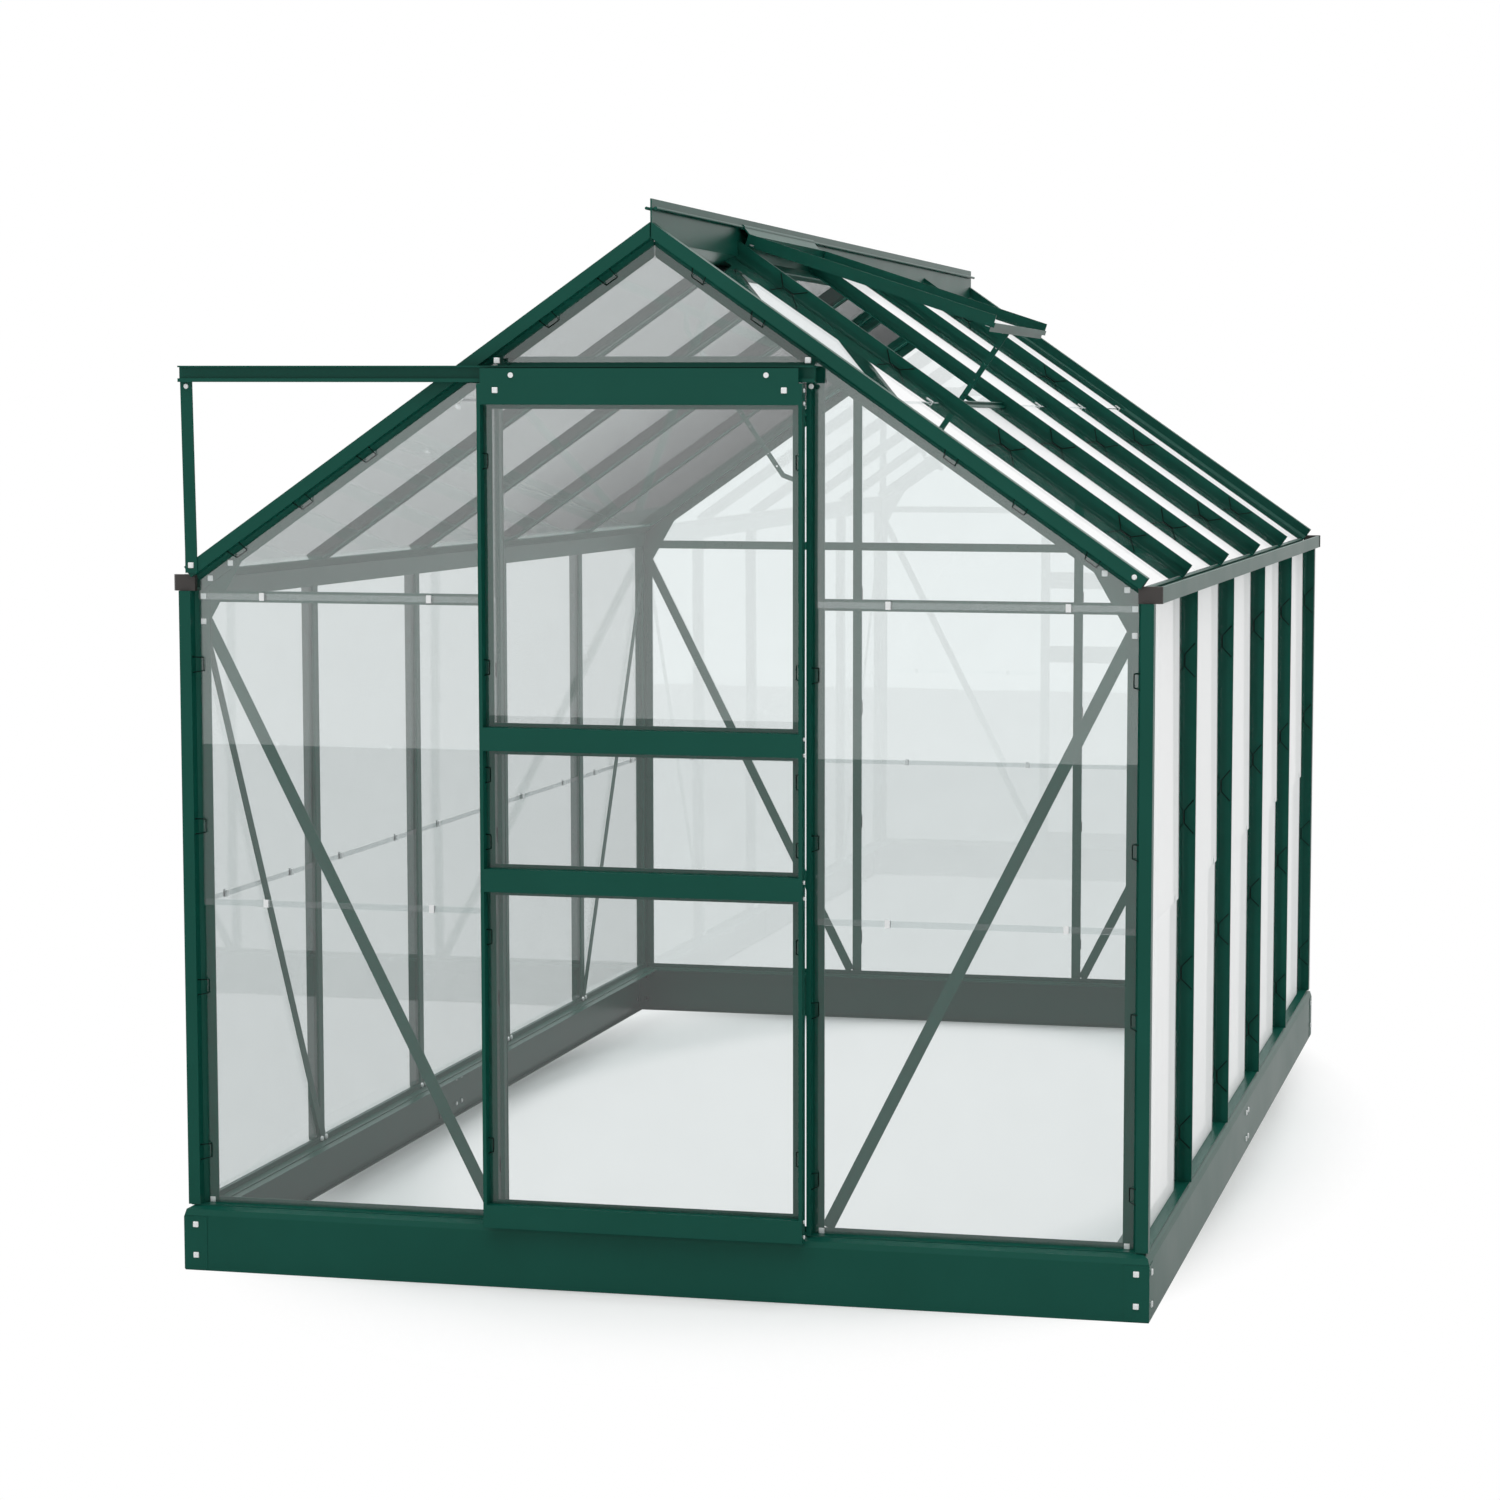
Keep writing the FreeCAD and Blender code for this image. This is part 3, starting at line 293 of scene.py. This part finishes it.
up_right = Vector((-math.cos(roof_slope), 0, math.sin(roof_slope)))
out_right = Vector((math.sin(roof_slope), 0, math.cos(roof_slope)))
apex = Vector((0, along_middle, apex_height))
front_plane = seat((0, front_seat, 0), (1, 0, 0), (0, 0, 1))
back_plane = seat((0, back_seat, 0), (-1, 0, 0), (0, 0, 1))
right_plane = seat((right_seat, along_middle, 0), (0, 1, 0), (0, 0, 1))
left_plane = seat((-right_seat, along_middle, 0), (0, -1, 0), (0, 0, 1))
half_turn = Matrix.Translation(apex) @ Matrix.Rotation(math.pi, 4, "Z") @ Matrix.Translation(-apex)
right_slope = seat(apex - out_right * bar_proud, (0, 1, 0), up_right)
left_slope = half_turn @ right_slope


def facing(point, outward):
    """Place whose Z axis points out of the face that a fitting stands on."""
    turn = Vector(outward).to_track_quat("Z", "Y").to_matrix().to_4x4()
    return Matrix.Translation(Vector(point)) @ turn


# Making the fittings' meshes

def finish_piece(name, mesh, material, body):
    mesh.materials.clear()
    mesh.materials.append(material)
    made = bpy.data.objects.new(name, mesh)
    bpy.context.scene.collection.objects.link(made)
    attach(made, body)


def mesh_from(bm, name):
    bmesh.ops.recalc_face_normals(bm, faces=bm.faces[:])
    mesh = bpy.data.meshes.new(name)
    bm.to_mesh(mesh)
    bm.free()
    return mesh


# Bolts

def bolt_piece(name, bm, body):
    finish_piece(name, mesh_from(bm, name), finishes["plated_steel"], body)


def round_off(bm, edges, width, segments):
    bmesh.ops.bevel(
        bm, geom=list(edges), offset=width, offset_type="OFFSET", affect="EDGES",
        segments=segments, profile=0.5, material=-1,
    )


def square_head(bm, place, width=11 * MM, height=3 * MM):
    """Square bolt head with its corners broken, half sunk so that it meets its seat."""
    shape = Matrix.Diagonal((width, width, 2 * height, 1))
    made = bmesh.ops.create_cube(bm, size=1, matrix=place @ shape)
    edges = {edge for vert in made["verts"] for edge in vert.link_edges}
    round_off(bm, edges, 1.2 * MM, 2)


def round_head(bm, place, radius=5 * MM, height=2.5 * MM):
    """Low domed bolt head."""
    shape = place @ Matrix.Translation((0, 0, height / 2))
    made = bmesh.ops.create_cone(
        bm, cap_ends=True, segments=14, radius1=radius, radius2=radius, depth=height, matrix=shape,
    )
    outward = place.to_3x3() @ Vector((0, 0, 1))
    top = {
        edge for vert in made["verts"] for edge in vert.link_edges
        if all((v.co - place.translation).dot(outward) > height / 2 for v in edge.verts)
    }
    round_off(bm, top, 1.5 * MM, 3)


def base_bolts(bm):
    """Bolts of the plates over the base's corners and behind the seams of its sides."""
    front_face = plate_low[1]
    back_face = plate_high[1]
    side_face = plate_high[0]
    corner_in = 25 * MM
    corner_sheet = 1 * MM
    seam_depth = 4 * MM
    seam_drop = 3 * MM
    for height in (31 * MM, 92 * MM):
        for side in (-1, 1):
            corner_x = side * (side_face - corner_in)
            square_head(bm, facing((corner_x, front_face, height), (0, -1, 0)))
            square_head(bm, facing((corner_x, back_face, height), (0, 1, 0)))
            for y in (front_face + corner_in, back_face - corner_in):
                square_head(bm, facing((side * side_face, y, height), (side, 0, 0)))
            outside = side * (side_face - corner_sheet)
            inside = outside - side * seam_depth
            for y in (21 * MM, 58 * MM):
                square_head(bm, facing((outside, y, height - seam_drop), (side, 0, 0)))
                round_head(bm, facing((inside, y, height - seam_drop), (-side, 0, 0)))


def gable_bolts(bm):
    """Bolts of the transom, the gusset plates, the track with its strut, and the uprights' feet."""
    tip = front_seat - bar_proud
    low_head = 1.5 * MM
    transom_bolt = (302, 1779)
    gusset_bolts = ((856, 1390), (898, 1360), (913, 1325), (913, 1276))
    strut_head, strut_foot = 1730, 1386
    post_bolt = (915, 1385)
    track_bolt = (308, 1731)
    foot_height = 134
    front_feet = (-913, -322, 322, 908)
    back_feet = (-908, -310, 310, 908)

    def front_at(x, z, y=tip):
        return facing((x * MM, y, z * MM), (0, -1, 0))

    def back_at(x, z):
        return facing((x * MM, back_seat, z * MM), (0, 1, 0))

    for side in (-1, 1):
        square_head(bm, front_at(side * transom_bolt[0], transom_bolt[1]))
        for x, z in gusset_bolts:
            square_head(bm, front_at(side * x, z, front_seat), height=low_head)
            square_head(bm, back_at(side * x, z), height=low_head)
    strut_low, strut_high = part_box("track_strut")
    strut_x = (strut_low[0] + strut_high[0]) / 2
    strut_sheet = 3 * MM
    # Sunk by 1 mm, so that the open door's stile passes in front of it
    round_head(bm, facing((strut_x, strut_low[1] + 1 * MM, strut_head * MM), (0, -1, 0)))
    square_head(bm, facing((strut_x, tip - strut_sheet, strut_foot * MM), (0, -1, 0)))
    round_head(bm, front_at(*post_bolt))
    round_head(bm, front_at(*track_bolt))
    for x in front_feet:
        square_head(bm, front_at(x, foot_height, front_seat), height=low_head)
    for x in back_feet:
        square_head(bm, back_at(x, foot_height), height=low_head)


def wall_bolts(bm):
    """Pairs of bolts inside the feet of the wall bars."""
    foot_height = 136 * MM
    from_bar = 12 * MM
    flange = 4.5 * MM
    for side in (-1, 1):
        inner = side * (right_seat - flange)
        for k in range(1, bays):
            for offset in (-from_bar, from_bar):
                y = along_middle - half_length + k * bay + offset
                place = facing((inner, y, foot_height), (-side, 0, 0))
                round_head(bm, place, radius=5.5 * MM, height=4 * MM)


def frame_bolts():
    bm = bmesh.new()
    base_bolts(bm)
    gable_bolts(bm)
    wall_bolts(bm)
    bolt_piece("frame_bolts", bm, "frame")


def door_bolts():
    bm = bmesh.new()
    rail_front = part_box("door_top_rail")[0][1]
    rail_middle = 1723 * MM
    for x in (-293 * MM, 266 * MM):
        square_head(bm, facing((x, rail_front, rail_middle), (0, -1, 0)))
    stile_low, stile_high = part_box("door_right_stile")
    left_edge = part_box("door_left_stile")[0][0]
    behind_middle = 3 * MM
    y = (stile_low[1] + stile_high[1]) / 2 + behind_middle
    rail_ends = (132, 161, 777, 807, 1046, 1076, 1699, 1723)
    for z in rail_ends:
        for x, out in ((stile_high[0], 1), (left_edge, -1)):
            round_head(bm, facing((x, y, z * MM), (out, 0, 0)), radius=4 * MM, height=2 * MM)
    bolt_piece("door_bolts", bm, "door")


def bead_to_flange(sign, along, down):
    """Underside of a vent's lower flange, from the hinge bead on the ridge."""
    bead_out = 9 * MM
    bead_rise = 25 * MM
    vent_length = 554 * MM
    flange_middle = 24 * MM
    flange_drop = 8 * MM
    bead = Vector((sign * bead_out, 0, apex_height + bead_rise))
    hinge_along = bead_out * math.cos(roof_slope) - bead_rise * math.sin(roof_slope)
    hinge_out = bead_out * math.sin(roof_slope) + bead_rise * math.cos(roof_slope)
    reach = vent_length - flange_middle - hinge_along
    return bead + along * reach + down * (flange_drop + hinge_out)


def vent_bolts(side, body):
    """Two bolts under the outer ends of a vent's lower rail; the right vent stands open at rest."""
    low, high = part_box(side + "_vent_lower_rail")
    sign, opened = (1, vent_rest) if side == "right" else (-1, 0)
    angle = roof_slope - opened
    bm = bmesh.new()
    down = Vector((-sign * math.sin(angle), 0, -math.cos(angle)))
    along = Vector((sign * math.cos(angle), 0, -math.sin(angle)))
    rail = bead_to_flange(sign, along, down)
    end_in = 60 * MM
    for y in (low[1] + end_in, high[1] - end_in):
        square_head(bm, facing((rail.x, y, rail.z), down))
    bolt_piece(side + "_vent_bolts", bm, body)


# Lap clips

def lap_clip(bm, plane, across, lap, skin):
    """S-shaped strip that hangs a pane's foot on the head of the pane below."""
    outer = lap_lean + glass_sheet + skin
    hem = half_lap + skin
    lip = 8 * MM
    width = 10 * MM
    section = [
        (outer, lap + lip), (outer, lap - hem), (glass_sheet, lap - hem),
        (glass_sheet, lap + hem), (-skin, lap + hem), (-skin, lap - half_lap),
    ]
    line = [bm.verts.new(plane @ Vector((across - width / 2, along, out))) for out, along in section]
    edges = [bm.edges.new(pair) for pair in zip(line, line[1:])]
    made = bmesh.ops.extrude_edge_only(bm, edges=edges)["geom"]
    moved = [item for item in made if isinstance(item, bmesh.types.BMVert)]
    bmesh.ops.translate(bm, verts=moved, vec=plane.to_3x3() @ Vector((width, 0, 0)))


def lap_clips():
    """Two clips at each lap of a pane."""
    bm = bmesh.new()
    skin = 0.6 * MM
    from_middle = 170 * MM
    outer_panes = (450, 790, -450, -790)
    for plane in (front_plane, back_plane):
        for lap in gable_laps:
            for across in outer_panes:
                lap_clip(bm, plane, across * MM, lap, skin)
    for lap in gable_laps:
        for across in (-from_middle, from_middle):
            lap_clip(bm, back_plane, across, lap, skin)
    on_wall = (None, wall_lap)
    on_slope = (vent_bay, half_lap - roof_lap)
    for plane, (no_lap, lap) in (
        (right_plane, on_wall), (left_plane, on_wall), (right_slope, on_slope), (left_slope, on_slope),
    ):
        for k in range(1, bays + 1):
            if k == no_lap:
                continue
            middle = (k - (bays + 1) / 2) * bay
            for offset in (-from_middle, from_middle):
                lap_clip(bm, plane, middle + offset, lap, skin)
    bmesh.ops.solidify(bm, geom=bm.faces[:], thickness=skin)
    finish_piece("lap_clips", mesh_from(bm, "lap_clips"), clip_strip, "frame")


# Wire glazing clips

wire_radius = 1.1 * MM
bar_head = 3.9 * MM
post_reach = 14.5 * MM
square_spread = 15 * MM


def wire_clip(
    plane, edge, inward, along, lean=0.0, reach=8.5 * MM, hook=bar_proud - 4 * MM, spread=34 * MM,
):
    """Spring wire from the side of a bar's head, pressing on the edge of the glass beside it."""
    rest = glass_sheet + lean + wire_radius
    half_foot = 13 * MM
    foot = edge + inward * reach
    points = [
        (edge, along - spread, hook), (foot, along - half_foot, rest),
        (foot, along + half_foot, rest), (edge, along + spread, hook),
    ]
    return [plane @ Vector(p) for p in points]


def wire_piece(name, runs, body):
    curve = bpy.data.curves.new(name, "CURVE")
    curve.dimensions = "3D"
    curve.bevel_depth = wire_radius
    curve.bevel_resolution = 0
    curve.use_fill_caps = True
    for points in runs:
        spline = curve.splines.new("POLY")
        spline.points.add(len(points) - 1)
        for spot, point in zip(spline.points, points):
            spot.co = (*point, 1.0)
    holder = bpy.data.objects.new(name, curve)
    mesh = bpy.data.meshes.new_from_object(holder)
    bpy.data.objects.remove(holder)
    mesh.name = name
    finish_piece(name, mesh, spring_wire, body)


# Heights of the clips on an upright, with how far the pane leans out there
upright_heights = (
    (233 * MM, 0.0), (560 * MM, 0.0), (877 * MM, lap_lean * 0.75), (1193 * MM, lap_lean * 0.25),
)


def gable_clips():
    post = right_seat + 3.1 * MM
    jamb = 304.2 * MM
    back_bar = bay / 2
    runs = []
    for height, lean in upright_heights:
        for plane, inner in ((front_plane, jamb), (back_plane, back_bar)):
            for side in (-1, 1):
                runs.append(wire_clip(
                    plane, side * post, -side, height, lean, post_reach, spread=square_spread,
                ))
                runs.append(wire_clip(
                    plane, side * (inner + bar_head), side, height, lean, spread=square_spread,
                ))
        for side in (-1, 1):
            runs.append(wire_clip(back_plane, side * (back_bar - bar_head), -side, height, lean))
    return runs


def wall_clips():
    post_face = 16.9 * MM
    runs = []
    for plane in (right_plane, left_plane):
        for k in range(1, bays):
            for side in (-1, 1):
                for height, lean in upright_heights:
                    runs.append(wire_clip(plane, (k - bays / 2) * bay + side * bar_head, side, height, lean))
        for side in (-1, 1):
            end = side * (half_length - post_face)
            for height, lean in upright_heights:
                runs.append(wire_clip(plane, end, -side, height, lean, post_reach))
    return runs


def slope_clips():
    """Clips of the roof bars, without the upper ones in the vent's bay and in the next one."""
    below_ridge = ((-150, lap_lean * 0.3), (-420, lap_lean * 0.8), (-700, 0), (-1000, 0))
    vent_foot = -560
    runs = []
    for plane in (right_slope, left_slope):
        for k in range(1, bays):
            for side in (-1, 1):
                beside_bay = k if side < 0 else k + 1
                for along, lean in below_ridge:
                    if along > vent_foot and beside_bay in (vent_bay, vent_bay + 1):
                        continue
                    runs.append(wire_clip(
                        plane, (k - bays / 2) * bay + side * bar_head, side, along * MM, lean,
                    ))
    return runs


def rake_clip(plane, side, x):
    """Clip on a gable rake: its wire runs along the slope, from the underside of the rake's box."""
    box_side = -(bar_proud - 3.1 * MM)
    box_reach = 17 * MM
    along = x / math.cos(roof_slope)
    flat = wire_clip(Matrix(), box_side, -1, along, reach=box_reach, spread=square_spread)
    across = Vector((side * math.sin(roof_slope), math.cos(roof_slope), 0))
    down = Vector((side * math.cos(roof_slope), -math.sin(roof_slope), 0))
    start = Vector((0, apex_height, 0))
    return [plane @ (start + across * p.x + down * p.y + Vector((0, 0, p.z))) for p in flat]


def rake_clips():
    from_apex = (854, 718, 588, 221, 107)
    return [
        rake_clip(plane, side, x * MM)
        for plane in (front_plane, back_plane) for side in (-1, 1) for x in from_apex
    ]


def frame_clips():
    runs = gable_clips() + wall_clips() + slope_clips() + rake_clips()
    wire_piece("glazing_clips", runs, "frame")


def door_clips():
    runs = []
    pane_low, pane_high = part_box("door_glass")
    plane = seat((0, pane_high[1], 0), (1, 0, 0), (0, 0, 1))
    outside = 1 * MM
    stile_hook = 10 * MM
    heights = (280, 684, 867, 995, 1200, 1590)
    for edge, inward in ((pane_low[0] - outside, 1), (pane_high[0] + outside, -1)):
        for z in heights:
            runs.append(wire_clip(plane, edge, inward, z * MM, hook=stile_hook, spread=square_spread))
    wire_piece("door_glazing_clips", runs, "door")


# Stage

def floor():
    """Pale studio floor that keeps the shadow near the greenhouse and runs into the white beyond; inside the
    base it glows, painted light over the shade under the glass.
    """
    made, tree, place = new_material("studio_floor")
    # The stretched distance is near one on all sides of the base, so the shadow keeps the base's shape
    stretch = (1.05, 0.6, 0.0)
    oval = add(tree, "ShaderNodeVectorMath", {0: place, 1: stretch}, operation="MULTIPLY")
    away = add(tree, "ShaderNodeVectorMath", {0: oval.outputs["Vector"]}, operation="LENGTH")
    half = maths(tree, "MULTIPLY", away.outputs["Value"], 0.5)
    # Seen from the camera the floor is mixed with white glow: two thirds inside the base, painted light over
    # the shade there; an eighth at the base's edge and just outside it, where the shadow stays; all white
    # farther out
    painted_glow_share = stepped(tree, half, ((0.42, 0.66), (0.475, 0.12), (0.53, 0.12), (0.66, 1.0)))
    rays = add(tree, "ShaderNodeLightPath").outputs
    seen = maths(tree, "MULTIPLY", painted_glow_share, rays["Is Camera Ray"])
    paper = add(tree, "ShaderNodeBsdfDiffuse", {"Color": linear("#FBFBFB")})
    white = add(tree, "ShaderNodeEmission", {"Color": linear("#FFFFFF"), "Strength": 1.0})
    surface(tree, blended(tree, seen, paper.outputs["BSDF"], white.outputs["Emission"]))
    radius = 40
    under = Matrix.Translation((0, 0, -0.5 * MM))
    bm = bmesh.new()
    bmesh.ops.create_circle(bm, cap_ends=True, segments=64, radius=radius, matrix=under)
    mesh = bpy.data.meshes.new("studio_floor")
    bm.to_mesh(mesh)
    bm.free()
    mesh.materials.append(made)
    ground = bpy.data.objects.new("studio_floor", mesh)
    bpy.context.scene.collection.objects.link(ground)
    ground.visible_glossy = False


def room_tones(tree):
    """What the glass mirrors, by direction. In front, a white wall over a grey floor. Behind, a pale wall
    over a dark floor, which starts lower at the right, and a grey foot of the wall at the far right."""
    place = add(tree, "ShaderNodeTexCoord").outputs["Generated"]
    ways = add(tree, "ShaderNodeSeparateXYZ", {"Vector": place}).outputs
    white, pale, grey, dark = 1.0, 0.9, 0.4, 0.05
    front_white = 0.96

    def past(axis, level):
        return maths(tree, "GREATER_THAN", ways[axis], level)

    # The front floor ends in an edge along X, so that its line in the glass rises toward the left
    front_edge = maths(tree, "MULTIPLY", ways["Y"], 0.0884)
    front = between(tree, past("Z", front_edge), grey, front_white)
    pale_wall = between(tree, past("Z", 0.0), pale, white)
    far_right = between(tree, past("Z", 0.0), grey, white)
    left_back = between(tree, past("Z", -0.15), dark, pale_wall)
    right_wall = between(tree, past("X", 0.25), pale_wall, far_right)
    right_back = between(tree, past("Z", -0.26), dark, right_wall)
    back = between(tree, past("X", 0.02), left_back, right_back)
    return between(tree, past("Y", 0.0), front, back)


def light():
    """White room with even light all round, and a broad soft lamp above."""
    world = bpy.data.worlds.new("white_room")
    bpy.context.scene.world = world
    world.use_nodes = True
    tree = world.node_tree
    tree.nodes.clear()
    rays = add(tree, "ShaderNodeLightPath").outputs
    even_light = 0.58
    lit = between(tree, rays["Is Glossy Ray"], even_light, room_tones(tree))
    direct = maths(tree, "MAXIMUM", rays["Is Camera Ray"], rays["Is Transmission Ray"])
    strength = between(tree, direct, lit, 1.0)
    white = add(tree, "ShaderNodeBackground", {"Color": linear("#FFFFFF"), "Strength": strength})
    add(tree, "ShaderNodeOutputWorld", {"Surface": white.outputs["Background"]})
    lamp = bpy.data.lights.new("overhead_softbox", "SUN")
    lamp.energy = 1.75
    lamp.angle = math.radians(70)
    toward_lamp = Vector((-0.05, -0.2, 1))
    holder = bpy.data.objects.new("overhead_softbox", lamp)
    holder.rotation_euler = toward_lamp.to_track_quat("Z", "Y").to_euler()
    bpy.context.scene.collection.objects.link(holder)


def camera():
    """The photograph's own viewpoint, fitted to the frame's corners."""
    place = (1.8334, -7.8207, 1.6613)
    yaw, pitch, roll = -0.2051, -0.0936, 0.0033
    flat = math.cos(pitch)
    forward = Vector((math.sin(yaw) * flat, math.cos(yaw) * flat, math.sin(pitch)))
    level = Vector((math.cos(yaw), -math.sin(yaw), 0))
    upright = level.cross(forward)
    right = level * math.cos(roll) + upright * math.sin(roll)
    top = upright * math.cos(roll) - level * math.sin(roll)
    lens = bpy.data.cameras.new("photograph")
    lens.sensor_width = 36
    lens.lens = 83.2
    lens.shift_x = -0.1174
    eye = bpy.data.objects.new("photograph", lens)
    axes = Matrix((right, top, -forward)).transposed().to_4x4()
    eye.matrix_world = Matrix.Translation(place) @ axes
    bpy.context.scene.collection.objects.link(eye)
    bpy.context.scene.camera = eye


camera()
dress_nodes()
frame_bolts()
door_bolts()
vent_bolts("right", "right_vent")
vent_bolts("left", "left_vent")
lap_clips()
frame_clips()
door_clips()
floor()
light()
bpy.context.scene.view_settings.view_transform = "Standard"
